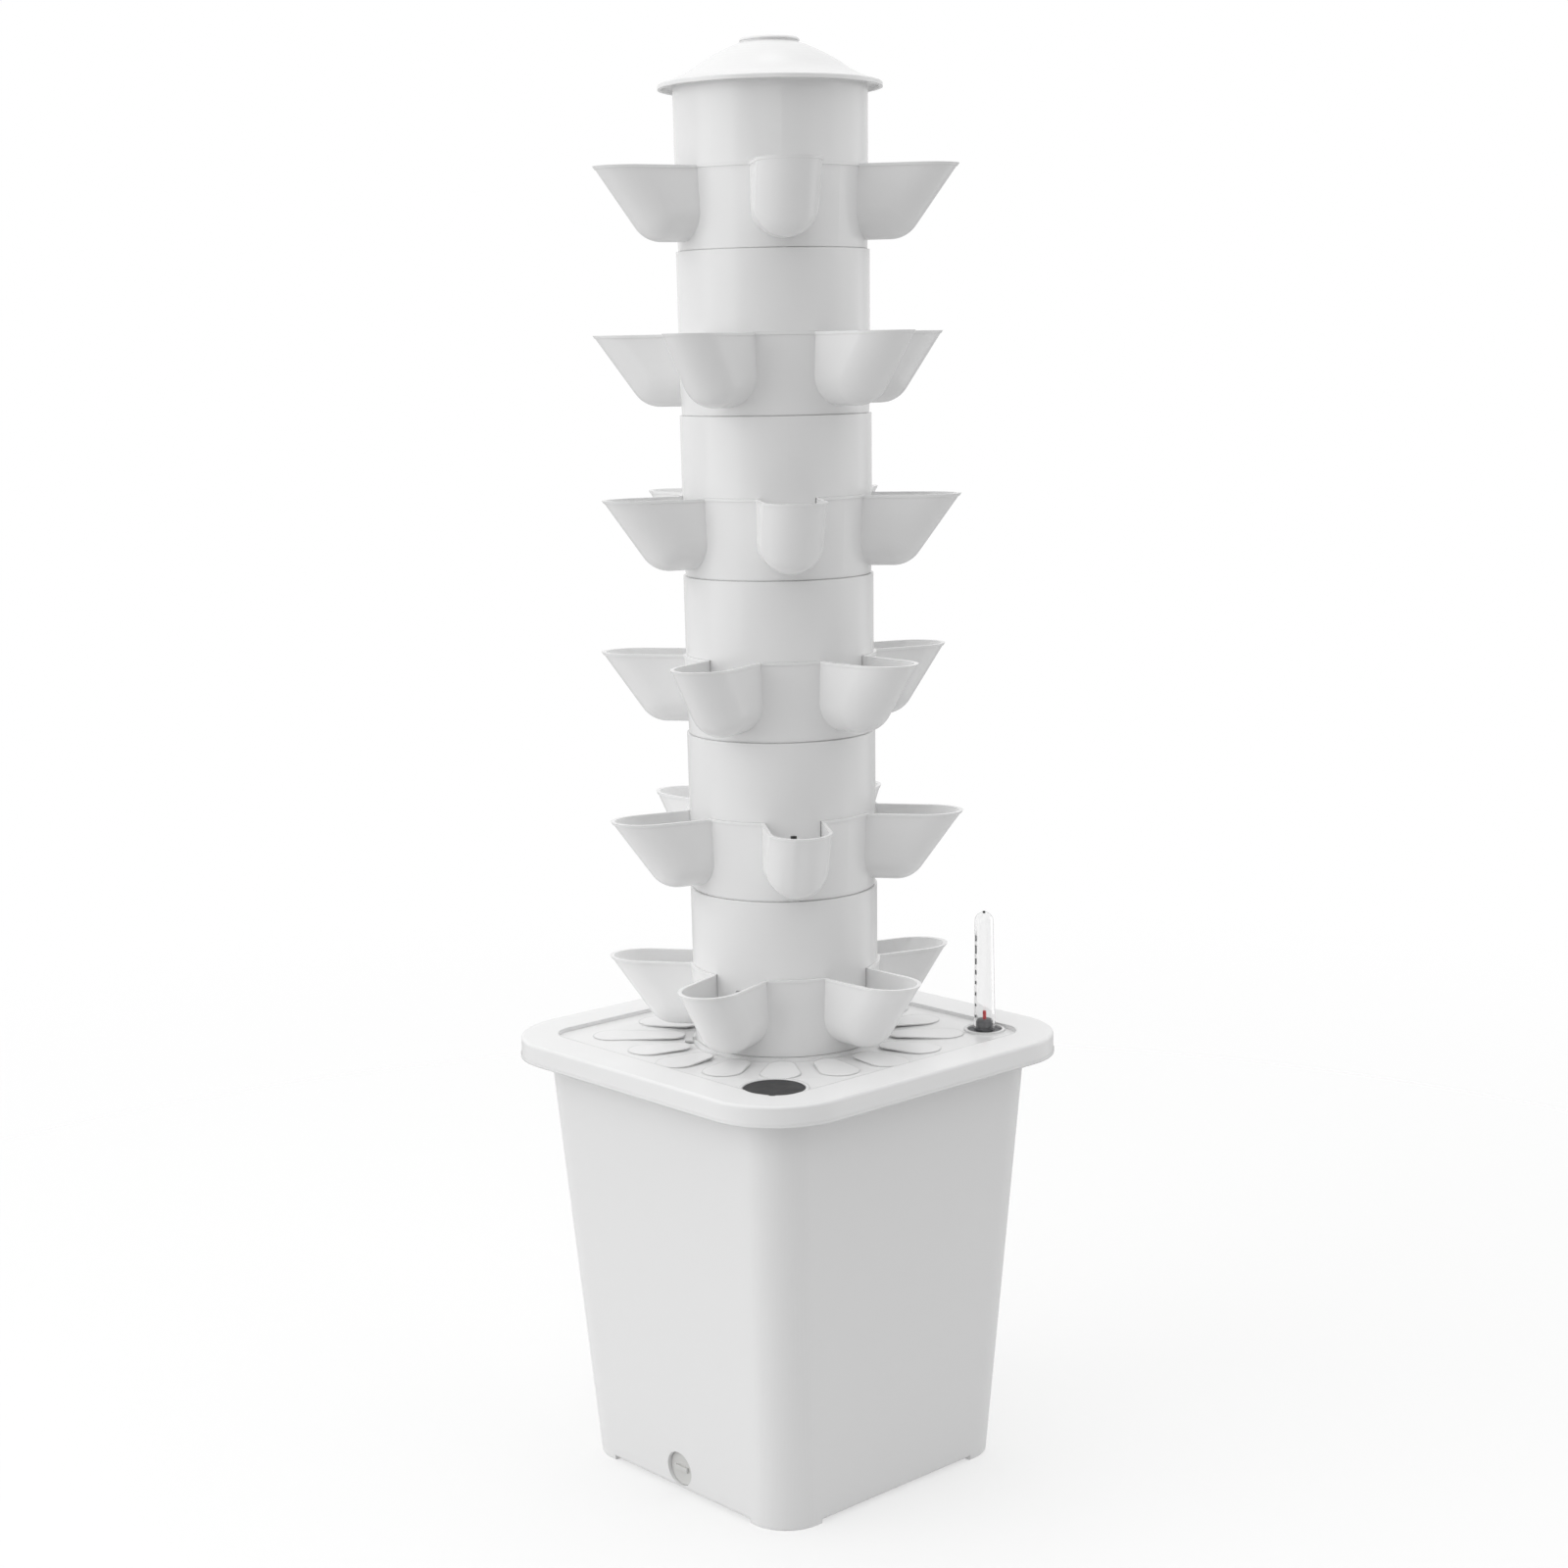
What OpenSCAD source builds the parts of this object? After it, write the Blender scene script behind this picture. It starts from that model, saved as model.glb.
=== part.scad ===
// Vertical planter tower: six stacked tiers of five pockets on a square water tank.
// A pump in the tank feeds a central riser pipe, and the water falls back through the tiers.
// +Z is up, the ground is z = 0 and the column stands on the Z axis.

/* [Tank] */
// Height from the ground to the top of the tank's rim
tank_h = 267.3; // [240:0.1:320]
// Outside width across the flats at the rim
tank_top_w = 222; // [206:1:240]
// How far each side leans in from the rim to the ground
tank_taper = 18; // [14:0.5:22]
// Radius of the four upright corners
tank_corner_r = 26; // [20:1:32]
// Thickness of the side walls
tank_wall = 2.5; // [2:0.1:3.5]
// Thickness of the floor
tank_floor = 3; // [2:0.1:4]
// Radius of the rounded edge between the feet
tank_edge_r = 1.5; // [1:0.1:2]
// Radius of the rounded edge inside, round the floor
floor_edge_r = 3; // [1:0.5:4]
// Height of the corner feet
foot_h = 2.2; // [1:0.1:3]
// Radius of the rounded edge under the feet
foot_edge_r = 1; // [0.5:0.1:1]
// Length of each foot beyond the corner's curve
foot_run = 4; // [0:1:16]
// Thickness of the rim flange
rim_t = 2.4; // [1.6:0.1:3]
// Depth of the lip that turns down at the rim's edge
rim_lip_h = 8; // [4:1:9]

/* [Drain] */
// Height of the drain's centre above the ground
drain_z = 14.2; // [13:0.1:24]
// Radius of the recess that the drain plug sits in
drain_r = 10.8; // [10:0.1:11]
// Radius of the hole through the drain boss
drain_bore_r = 7; // [5:0.1:8]
// How far the plug's face lies inside the recess
drain_inset = 2.6; // [1:0.1:4]
// Thickness of the drain plug's flange
plug_flange_t = 2.2; // [1.5:0.1:4]
// Thickness of the sealing washer
seal_t = 1.2; // [0.8:0.1:2]

/* [Tank lid] */
// How far the lid stands out from the tank's sides
lid_overhang = 19; // [15:0.5:22]
// Radius of the lid's corners
lid_corner_r = 48; // [34:1:52]
// Height of the lid's skirt
lid_skirt_h = 12.5; // [11:0.5:16]
// How far the bead along the skirt's lower edge stands out
skirt_bead_out = 0.5; // [0.2:0.1:1]
// Height of that bead
skirt_bead_h = 1.8; // [1:0.1:3]
// Thickness of the lid's walls
lid_t = 2.4; // [1.8:0.1:3]
// Radius of the rounded edge along the lid's top
lid_edge_r = 1.6; // [0.8:0.1:2]
// Depth of the panel below the band
panel_drop = 2.3; // [1.5:0.1:2.8]
// How much deeper the panel lies at the column
dish_drop = 1.6; // [1:0.1:2]
// Depth of the column's seat below the top of the lid
seat_drop = 1.7; // [1:0.1:2.4]
// Number of raised pads round the column
pad_n = 16; // [8:2:16]
// Height of the raised pads
pad_h = 0.6; // [0.4:0.1:1]
// Radius of each pad's inner end, as a part of the pad's length
pad_in_part = 0.22; // [0.15:0.01:0.25]
// Radius of each pad's outer end, as a part of the pad's length
pad_out_part = 0.31; // [0.26:0.01:0.34]
// Distance from the pads' outer ends to the panel's edge, along the lid's axes
pad_margin = 3; // [2:0.5:5]
// Distance from the pads' outer ends to the panel's corners, along the lid's diagonals
pad_corner_margin = 28; // [24:1:36]
// Depth of the ribs under the lid
lid_rib_h = 6; // [3:0.5:9]
// Thickness of the ribs under the lid
lid_rib_t = 2; // [1.5:0.1:3]
// Number of ribs under the lid
lid_rib_n = 8; // [4:4:8]

/* [Fill cap] */
// Distance of the filling hole's centre from the panel's edge, along X
fill_in_x = 20; // [18:0.5:24]
// Distance of the filling hole's centre from the panel's edge, along Y
fill_in_y = 17; // [16:0.5:20]
// Radius of the filling hole
fill_r = 18.2; // [15:0.1:19]
// Thickness of the fill cap's disc
fill_disc_t = 2; // [1.2:0.1:2.4]
// Depth of the ring under the fill cap
fill_plug_h = 6; // [3:0.5:10]
// Radius of the finger notch at the hole's edge
notch_r = 2.4; // [1.5:0.1:4]

/* [Level gauge] */
// Distance of the gauge from the panel's edge, along X
gauge_in_x = 24; // [20:0.5:28]
// Distance of the gauge from the panel's edge, along Y
gauge_in_y = 12; // [12:0.5:16]
// Radius of the gauge's hole in the lid
gauge_hole_r = 10.6; // [10:0.1:11.5]
// Outside radius of the clear tube at its foot
gauge_tube_r = 6.6; // [6:0.1:8]
// Outside radius of the clear tube below its dome
gauge_column_r = 5.7; // [5.2:0.1:6]
// Height of the clear tube
gauge_tube_h = 74.2; // [66:0.1:90]
// Wall of the clear tube
gauge_wall = 1; // [0.8:0.1:1.2]
// Radius of the red indicator rod
stem_r = 1.1; // [0.8:0.1:1.4]
// Height of the float, as a part of its cage's length
float_part = 0.49; // [0.4:0.01:0.7]
// Radius of the float
float_r = 6.8; // [5:0.1:7]
// Number of rows of slots in the cage
cage_rows = 2; // [1:1:4]

/* [Tiers] */
// Number of pockets on a ring
pocket_n = 5; // [3:1:5]
// Height from one tier to the next
tier_pitch = 94.3; // [85:0.1:110]
// Height of a pocket ring from its seat to its rim
ring_h = 47.5; // [44:0.1:56]
// Outside radius of a column tube at its top
column_r = 56.7; // [50:0.1:60]
// How much narrower a tube is where it meets the rim below
tube_draft = 0.4; // [0.2:0.1:0.5]
// Thickness of the tube's wall
tube_wall = 2.8; // [2.4:0.1:3.2]
// Width of the tube's top edge that shows round the ring standing on it
seat_step = 1.4; // [1.2:0.1:1.6]
// How far a ring's rim stands out past the tube's top radius
rim_out = 0.9; // [0.7:0.1:1.4]
// Thickness of the ring's wall
ring_wall = 2.2; // [1.8:0.1:2.4]
// Height of the shadow gap round the foot of a ring
seam_h = 0.5; // [0.3:0.1:0.8]
// Length of the tube that goes down inside the ring
tube_spigot_h = 22; // [12:1:24]

/* [Pockets] */
// Half the outside width of a pocket
pocket_r = 18.3; // [16:0.1:20]
// Distance from the column's face to the centre of the pocket's rounded toe
pocket_toe_out = 13; // [8:0.1:20]
// Height of the pocket's underside above the ring's seat
pocket_base_z = 5; // [3:0.5:7]
// Lean of the pocket's front wall from upright, in degrees
pocket_lean = 36; // [25:0.1:40]
// Thickness of the pocket's wall
pocket_wall = 1.8; // [1.4:0.1:2.4]
// How far the bead round the rim stands out
bead_out = 0.4; // [0.3:0.1:1]
// Height of the bead round the rim
bead_h = 1.7; // [0.8:0.1:3]

/* [Riser pipe] */
// Outside radius of the riser pipe
pipe_r = 8; // [7:0.1:9]
// Thickness of the pipe's wall
pipe_wall = 1.8; // [1.4:0.1:2]
// Length of the plug at each pipe's lower end
pipe_plug_h = 10; // [6:0.5:16]

/* [Dome lid] */
// How far the dome's brim stands out past the column
brim_out = 8.6; // [6:0.1:12]
// Height of the brim's edge above the column's top
brim_t = 0.7; // [0.4:0.1:3]
// Depth of the lip that turns down round the brim
brim_lip_h = 2.2; // [1.6:0.1:3]
// Radius of the arc that crowns the dome
dome_arc_r = 107; // [90:1:110]
// Radius of the arc that flares the dome into its brim
flare_arc_r = 60; // [40:1:62]
// Slope of the dome at the crown cap, in degrees
dome_top_slope = 19; // [16:0.5:22]
// Steepest slope of the dome, in degrees
dome_steep_slope = 35; // [30:0.5:36]
// Slope of the brim, in degrees
brim_slope = 17; // [12:0.5:20]
// Thickness of the dome
dome_t = 1.8; // [1.4:0.1:2.4]
// Radius of the crown cap
crown_r = 17.4; // [15:0.1:19]
// Thickness of the crown cap's disc
crown_disc_t = 1.6; // [1.2:0.1:4]
// Height of the neck under the crown cap's disc
crown_neck_h = 1; // [0.6:0.1:2]

/* [Pump] */
// Width of the pump housing
pump_w = 42; // [40:1:50]
// Length of the pump housing behind its cover
pump_l = 50; // [46:1:60]
// Height of the pump housing
pump_body_h = 38; // [37:1:46]
// Depth of the intake cover
pump_cover_l = 15; // [12:1:20]
// Radius of the impeller
impeller_r = 12; // [9:0.1:13]
// Number of impeller blades
blade_n = 6; // [4:1:8]
// Radius of the rotor behind the impeller
rotor_r = 8; // [6:0.1:9]
// Height of the suction feet
suction_h = 5; // [3:0.5:8]

/* [Hidden] */

// Smoothness of round shapes, of small ones and of rounded corners
round_fn = 96;
small_fn = 48;
corner_fn = 64;

// Overrun of every cut, and the thickness of a slice inside a hull
over = 1;
slice_t = 0.01;
// Flat sides lie this far inside the round ends that they join, so that they meet in a clear line
side_ease = 0.03;
// Clearance between parts that lift apart, and of a turning or sliding fit
fit_gap = 0.3;
run_gap = 0.06;

// Tiers are numbered from the top
tier_n = 6;
half_turn = 180;
pocket_step = 360 / pocket_n;
// Direction of the locating key on odd tiers; even tiers stand half a turn round
key_yaw = -36;

// Tank: half its width at a height, and the walls of its rim
rim_lip_t = 2;
rim_gap = 0.6;
function tank_half(z) = tank_top_w / 2 - tank_taper * (1 - z / tank_h);
lid_half = tank_top_w / 2 + lid_overhang;
rim_half = lid_half - lid_t - rim_gap;
rim_corner_r = lid_corner_r - lid_t - rim_gap;
floor_z = foot_h + tank_floor;

// Drain: the boss inside the wall, its length and the plug
drain_boss_t = 2.8;
drain_boss_l = 13;
drain_face_y = -tank_half(drain_z);
drain_recess = drain_inset + plug_flange_t + seal_t;
plug_tip = 2;
plug_grip_w = 3;
plug_grip_h = 1.6;

// Lid heights
lid_top_z = tank_h + lid_t;
panel_z = lid_top_z - panel_drop;
lid_low_z = panel_z - dish_drop - lid_t - lid_rib_h;
panel_gap = 2.1;
panel_half = tank_top_w / 2 - tank_wall - lid_t - panel_gap;
panel_corner_ease = 3;
panel_corner_r = tank_corner_r - tank_wall - lid_t - panel_gap - panel_corner_ease;
column_hole_r = column_r - tube_wall;
collar_r = column_r + rim_out;
hub_t = 2.5;
cord_hole_w = 8;
cord_hole_l = 7;
cord_hole_yaw = -125;
pad_gap = 4.6;
dish_r = panel_half - pad_gap;
pad_clear = 0.7;
lip_t = 2;
lip_h = 1.2;
ledge_w = 2;
ledge_t = 1.2;
fill_x = panel_half - fill_in_x;
fill_y = panel_half - fill_in_y;
gauge_x = panel_half - gauge_in_x;
gauge_y = panel_half - gauge_in_y;
pad_start = collar_r + pad_gap;
pad_reach = panel_half - pad_margin;
pad_in_r = (pad_reach - pad_start) * pad_in_part;
pad_out_r = (pad_reach - pad_start) * pad_out_part;

// Level gauge: the plug in the lid, the guide for the rod, and the float, which stops under the plug
plug_seat_z = panel_z - lid_t + ledge_t;
gauge_flange_t = 1.4;
gauge_barrel_r = 5.2;
gauge_barrel_h = 7;
gauge_cone_h = 1.8;
gauge_groove_d = 0.7;
gauge_groove_h = 1;
gauge_neck_h = 5;
gauge_vent_r = 0.7;
gauge_tube_z = plug_seat_z + gauge_flange_t;
stem_show = 5.2;
cage_t = 1.1;
cage_r = gauge_hole_r - ledge_w - fit_gap;
cage_clear = 1.2;
cage_top_z = plug_seat_z - gauge_neck_h;
cage_h = cage_top_z
    - tank_h * (1 - (tank_top_w / 2 - tank_wall - gauge_y - cage_r - cage_clear) / tank_taper);
cage_gap = 0.5;
cage_slot_w = 4;
cage_rib_h = 8;
cage_step = (cage_h - cage_rib_h) / cage_rows;
float_z = cage_top_z - cage_h + cage_t + cage_gap;
float_h = cage_h * float_part;
stem_top_z = gauge_tube_z + gauge_barrel_h + stem_show;

// Radii that the rings and the tubes share
ring_seat_r = column_r - seat_step;
ring_rim_r = column_r + rim_out;
tube_foot_r = column_r - tube_draft;

// Tier heights: the first tier is the top one, the last stands on the lid
column_foot_z = lid_top_z - seat_drop;
function seat_z(k) = column_foot_z + (tier_n - k) * tier_pitch;
function tier_yaw(k) = key_yaw + (k % 2 == 1 ? 0 : half_turn);
column_top_z = seat_z(1) + tier_pitch;

// Ring: the plug under its seat, its floor, the hub for the pipe, the shadow gap and the locating key
ring_plug_h = 6;
ring_plug_t = 1.8;
ring_plug_r = column_hole_r - fit_gap;
ring_floor_t = 2;
hub_h = 8;
drip_n = 10;
drip_r = 2;
drip_ring_r = column_hole_r - drip_r - 2 * ring_wall;
seam_d = 0.8;
key_w = 5.4;
key_h = 1.4;
key_gap = 0.4;
key_in = 0.8;
key_r = ring_seat_r - fit_gap;
// Inner radius of a ring at a height above its seat
function ring_bore_r(z) = ring_seat_r - ring_wall + (ring_rim_r - ring_seat_r) * z / ring_h;

// Tube: the wall that goes inside the ring, the water slots and the tray's ledge
spigot_wall = 1.6;
slot_w = 3.7;
slot_drop = 8;
tray_drop = 12;
tray_ledge_w = 3;
tray_ledge_t = 1.6;
tray_t = 1.8;
tray_rim_h = 4;
tray_hole_r = 1.6;
tray_hole_n = 10;
tray_hub_h = 5;

// Pocket: the height of its toe, and of its rim just under the ring's rim
toe_z = pocket_base_z + pocket_r;
rim_step = 0.3;
pocket_top = ring_h - rim_step;
pocket_toe_x = column_r + pocket_toe_out;
pocket_root_x = drip_ring_r;
apron_half = pocket_r - pocket_wall - side_ease - fit_gap;

// Riser: the place of each joint below the ring's seat, and the flange that carries the pipe
pipe_joint_drop = 4;
pipe_bore_r = pipe_r - pipe_wall;
pipe_plug_r = pipe_bore_r - fit_gap;
pipe_plug_t = 1.5;
pipe_flange_w = 2.5;
pipe_flange_t = 1.5;

// Dome: its height is what its edge, its brim and its arcs add up to
brim_r = column_r + brim_out;
brim_edge_r = 0.9;
brim_lip_t = 2;
flare_end_r = crown_r + dome_arc_r * (sin(dome_steep_slope) - sin(dome_top_slope))
    + flare_arc_r * (sin(dome_steep_slope) - sin(brim_slope));
brim_top_r = brim_r - brim_edge_r * (1 - sin(brim_slope));
brim_top_z = brim_t - brim_edge_r * (1 - cos(brim_slope));
dome_h = brim_top_z + (brim_top_r - flare_end_r) * tan(brim_slope)
    + flare_arc_r * (cos(brim_slope) - cos(dome_steep_slope))
    + dome_arc_r * (cos(dome_top_slope) - cos(dome_steep_slope));
dome_skirt_h = 7;
dome_skirt_t = 1.6;
dome_skirt_r = column_hole_r - fit_gap;
crown_hole_r = 12;
crown_stem_h = 6;
crown_stem_t = 1.6;
crown_edge_r = 0.8;
crown_inset = 0.7;

// Pump: it stands on suction feet with its outlet on the column's axis
pump_z = floor_z + suction_h;
pump_front = -11;
pump_edge_r = 4;
chamber_gap = 1.6;
chamber_r = impeller_r + chamber_gap;
chamber_l = 16;
chamber_floor_t = 3.4;
chamber_z = pump_z + chamber_r + chamber_floor_t;
rotor_gap = 0.4;
rotor_l = 24;
rotor_lead = 1;
rotor_from = chamber_l + rotor_lead;
rotor_to = rotor_from + rotor_l;
shaft_r = 1.2;
shaft_seat = 3;
blade_t = 1.4;
blade_l = 9;
impeller_disc_t = 1.2;
impeller_hub_r = 3.6;
outlet_r = pipe_bore_r - fit_gap;
outlet_bore_r = 4;
outlet_flange_r = 9;
outlet_flange_t = 2.4;
outlet_h = 16;
grille_slot_w = 2;
grille_slot_n = 5;
grille_pitch = 5;
cover_t = 2;
suction_r = 6;
suction_neck_r = 3;
suction_in = 8;
cord_boss_r = 5;
cord_bore_r = 3;
cord_boss_l = 5;

// A square with rounded corners, about the Z axis
module round_square(half, r) {
    square([2 * half, 2 * (half - r)], center = true);
    square([2 * (half - r), 2 * half], center = true);
    for (x = [-1, 1], y = [-1, 1])
        translate([x * (half - r), y * (half - r)])
            circle(r = r, $fn = corner_fn);
}

// A thin slice of that shape, for a hull to join to others
module slice(z, half, r) {
    translate([0, 0, z])
        linear_extrude(slice_t)
            round_square(half, r);
}

// The tank's outside, tapered, with a rounded edge at the ground
module tank_outside() {
    hull() {
        for (a = [0 : 22.5 : 90])
            slice(foot_edge_r * (1 - sin(a)),
                tank_half(foot_edge_r) - foot_edge_r * (1 - cos(a)),
                tank_corner_r - foot_edge_r * (1 - cos(a)));
        slice(tank_h - slice_t, tank_half(tank_h), tank_corner_r);
    }
}

// The water space inside the tank
module tank_inside() {
    hull() {
        for (a = [0 : 30 : 90])
            slice(floor_z + floor_edge_r * (1 - sin(a)),
                tank_half(floor_z + floor_edge_r) - tank_wall - floor_edge_r * (1 - cos(a)),
                tank_corner_r - tank_wall - floor_edge_r * (1 - cos(a)));
        slice(tank_h + over, tank_half(tank_h + over) - tank_wall, tank_corner_r - tank_wall);
    }
}

// The space between the corner feet, with the rounded edge that the walls have over it
module foot_gaps() {
    half = tank_half(foot_h);
    run = half - tank_corner_r - foot_run;
    edge = [for (a = [0 : 22.5 : 90])
        [half - tank_edge_r * (1 - cos(a)), foot_h + tank_edge_r * (1 - sin(a))]];
    for (i = [0 : 3])
        rotate([0, 0, 90 * i])
            rotate([90, 0, 0])
                linear_extrude(2 * run, center = true)
                    polygon(concat(
                        [[0, -over], [half + over, -over], [half + over, foot_h + tank_edge_r]],
                        edge,
                        [[0, foot_h]]
                    ));
}

// The rim flange that carries the lid, with a lip turned down at its edge
module tank_rim() {
    translate([0, 0, tank_h - rim_t])
        linear_extrude(rim_t)
            round_square(rim_half, rim_corner_r);
    translate([0, 0, tank_h - rim_lip_h])
        linear_extrude(rim_lip_h)
            difference() {
                round_square(rim_half, rim_corner_r);
                round_square(rim_half - rim_lip_t, rim_corner_r - rim_lip_t);
            }
}

// A round bar along Y that starts at the drain's face and runs into the tank
module drain_bar(r, from, to) {
    translate([0, drain_face_y + from, drain_z])
        rotate([-90, 0, 0])
            cylinder(r = r, h = to - from, $fn = small_fn);
}

module tank() {
    color("whitesmoke")
        difference() {
            union() {
                tank_outside();
                tank_rim();
            }
            foot_gaps();
            difference() {
                tank_inside();
                drain_bar(drain_r + drain_boss_t, -over, drain_boss_l);
            }
            drain_bar(drain_r, -over, drain_recess);
            drain_bar(drain_bore_r, drain_recess - over, drain_boss_l + over);
        }
}

module drain_plug() {
    color("lightgray") {
        drain_bar(drain_r - fit_gap, drain_inset, drain_inset + plug_flange_t);
        drain_bar(drain_bore_r - fit_gap, drain_inset, drain_boss_l + plug_tip);
        translate([0, drain_face_y + drain_inset, drain_z])
            cube([drain_r, 2 * plug_grip_h, plug_grip_w], center = true);
    }
}

module drain_seal() {
    color("dimgray")
        difference() {
            drain_bar(drain_r - fit_gap, drain_inset + plug_flange_t, drain_recess);
            drain_bar(drain_bore_r, drain_inset, drain_recess + over);
        }
}

// A raised pad, narrow at the column and wide at its outer end
module lid_pad(reach) {
    near = pad_start + pad_in_r;
    far = reach - pad_out_r;
    turn = asin((pad_out_r - pad_in_r) / (far - near));
    translate([near, 0])
        circle(r = pad_in_r, $fn = small_fn);
    translate([far, 0])
        circle(r = pad_out_r, $fn = small_fn);
    near_w = pad_in_r - side_ease;
    far_w = pad_out_r - side_ease;
    polygon([
        [near - near_w * sin(turn), near_w * cos(turn)],
        [far - far_w * sin(turn), far_w * cos(turn)],
        [far - far_w * sin(turn), -far_w * cos(turn)],
        [near - near_w * sin(turn), -near_w * cos(turn)]
    ]);
}

// How far the pad at an angle reaches: the ones by the filling hole and the gauge stop short of them
function pad_reach_at(a) =
    a == 315 ? norm([fill_x, fill_y]) - fill_r - lip_t - pad_clear :
    a == 45 ? norm([gauge_x, gauge_y]) - gauge_hole_r - lip_t - pad_clear :
    a % 90 == 45 ? norm([panel_half, panel_half]) - pad_corner_margin : pad_reach;

module lid_pads() {
    for (a = [0 : 360 / pad_n : 359])
        rotate([0, 0, a])
            translate([0, 0, panel_z - lid_t])
                linear_extrude(lid_t + pad_h)
                    lid_pad(pad_reach_at(a));
}

// Ring round a hole in the panel
module lid_lip(x, y, r) {
    translate([x, y, panel_z - lid_t])
        cylinder(r = r + lip_t, h = lid_t + lip_h, $fn = round_fn);
}

// Stepped hole whose lower edge is a ledge for the piece that sits in it
module ledge_hole(x, y, r) {
    translate([x, y, plug_seat_z])
        cylinder(r = r, h = lid_t + lip_h + over, $fn = round_fn);
    translate([x, y, panel_z - lid_t - over])
        cylinder(r = r - ledge_w, h = lid_t + over, $fn = round_fn);
}

// A slab with round corners, as thick as the radius of its rounded upper edge
module rounded_slab(half, r, edge_r) {
    arc = [for (a = [0 : 22.5 : 90]) [edge_r * (cos(a) - 1), edge_r * sin(a)]];
    for (i = [0 : 3])
        rotate([0, 0, 90 * i]) {
            rotate([90, 0, 0])
                linear_extrude(2 * (half - r), center = true)
                    polygon(concat([[0, 0]], [for (p = arc) [half + p[0], p[1]]], [[0, edge_r]]));
            translate([half - r, half - r, 0])
                rotate_extrude($fn = corner_fn)
                    polygon(concat([[0, 0]], [for (p = arc) [r + p[0], p[1]]], [[0, edge_r]]));
        }
}

// Cover plate and skirt, with a rounded top edge and a bead along the foot
module lid_shell() {
    half = lid_half - skirt_bead_out;
    foot_z = lid_top_z - lid_skirt_h;
    difference() {
        union() {
            translate([0, 0, lid_top_z - lid_edge_r])
                rounded_slab(half, lid_corner_r, lid_edge_r);
            translate([0, 0, foot_z])
                linear_extrude(lid_skirt_h - lid_edge_r)
                    round_square(half, lid_corner_r);
            translate([0, 0, foot_z])
                linear_extrude(skirt_bead_h)
                    round_square(lid_half, lid_corner_r + skirt_bead_out);
        }
        translate([0, 0, foot_z - over])
            linear_extrude(lid_skirt_h + over - lid_t)
                round_square(lid_half - lid_t, lid_corner_r - lid_t);
    }
}

// A layer that follows the panel: level round the outside and dished towards the column
module dished_layer(top_z, t) {
    far = 2 * panel_half;
    rotate_extrude($fn = round_fn)
        polygon([
            [column_hole_r, top_z - dish_drop],
            [collar_r, top_z - dish_drop],
            [dish_r, top_z],
            [far, top_z],
            [far, top_z - t],
            [dish_r, top_z - t],
            [collar_r, top_z - dish_drop - t],
            [column_hole_r, top_z - dish_drop - t]
        ]);
}

// Sunk panel inside the band
module lid_panel() {
    intersection() {
        dished_layer(panel_z, lid_t);
        translate([0, 0, lid_low_z])
            linear_extrude(lid_top_z - lid_low_z)
                round_square(panel_half + lid_t, panel_corner_r + lid_t);
    }
}

// The space over the panel, less everything that stands up in it
module panel_space() {
    difference() {
        intersection() {
            dished_layer(panel_z + 2 * panel_drop + dish_drop, 2 * panel_drop + dish_drop);
            translate([0, 0, lid_low_z])
                linear_extrude(lid_top_z - lid_low_z + over)
                    round_square(panel_half, panel_corner_r);
        }
        lid_pads();
        lid_lip(fill_x, -fill_y, fill_r);
        lid_lip(gauge_x, gauge_y, gauge_hole_r);
        lid_collar();
    }
}

// Collar that carries the column, with its skirt under the panel
module lid_collar() {
    translate([0, 0, lid_low_z])
        cylinder(r = collar_r, h = column_foot_z - lid_low_z, $fn = round_fn);
}

// Radial ribs under the panel
module lid_ribs() {
    intersection() {
        dished_layer(panel_z - lid_t / 2, lid_t / 2 + lid_rib_h);
        for (i = [0 : lid_rib_n - 1])
            rotate([0, 0, (i + 1 / 2) * 360 / lid_rib_n])
                translate([collar_r - slice_t, -lid_rib_t / 2, lid_low_z - over])
                    cube([panel_half - collar_r, lid_rib_t, lid_top_z - lid_low_z]);
    }
}

// Notch that takes the locating key of the ring above
module key_notch(top_z) {
    translate([ring_plug_r - key_in, -key_w / 2 - key_gap, top_z - key_h - key_gap])
        cube([key_r + key_gap - ring_plug_r + key_in, key_w + 2 * key_gap, key_h + key_gap + over]);
}

module tank_lid() {
    color("white")
        difference() {
            union() {
                lid_shell();
                lid_panel();
                lid_ribs();
                lid_collar();
            }
            panel_space();
            translate([0, 0, lid_low_z - over])
                cylinder(r = column_hole_r, h = lid_top_z - lid_low_z + 2 * over, $fn = round_fn);
            ledge_hole(fill_x, -fill_y, fill_r);
            ledge_hole(gauge_x, gauge_y, gauge_hole_r);
            translate([fill_x + fill_r * sin(45), -fill_y - fill_r * sin(45), plug_seat_z])
                cylinder(r = notch_r, h = lid_t + lip_h, $fn = small_fn);
            rotate([0, 0, cord_hole_yaw])
                translate([ring_seat_r, -cord_hole_w / 2, lid_low_z - over])
                    cube([cord_hole_l, cord_hole_w, lid_top_z - lid_low_z + 2 * over]);
            rotate([0, 0, tier_yaw(tier_n)])
                key_notch(column_foot_z);
        }
}

module fill_cap() {
    color("dimgray")
        translate([fill_x, -fill_y, plug_seat_z]) {
            cylinder(r = fill_r - fit_gap, h = fill_disc_t, $fn = round_fn);
            translate([0, 0, -fill_plug_h])
                difference() {
                    cylinder(r = fill_r - ledge_w - fit_gap, h = fill_plug_h, $fn = round_fn);
                    translate([0, 0, -over])
                        cylinder(r = fill_r - ledge_w - fit_gap - lid_t, h = fill_plug_h + over, $fn = round_fn);
                }
        }
}

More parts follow.
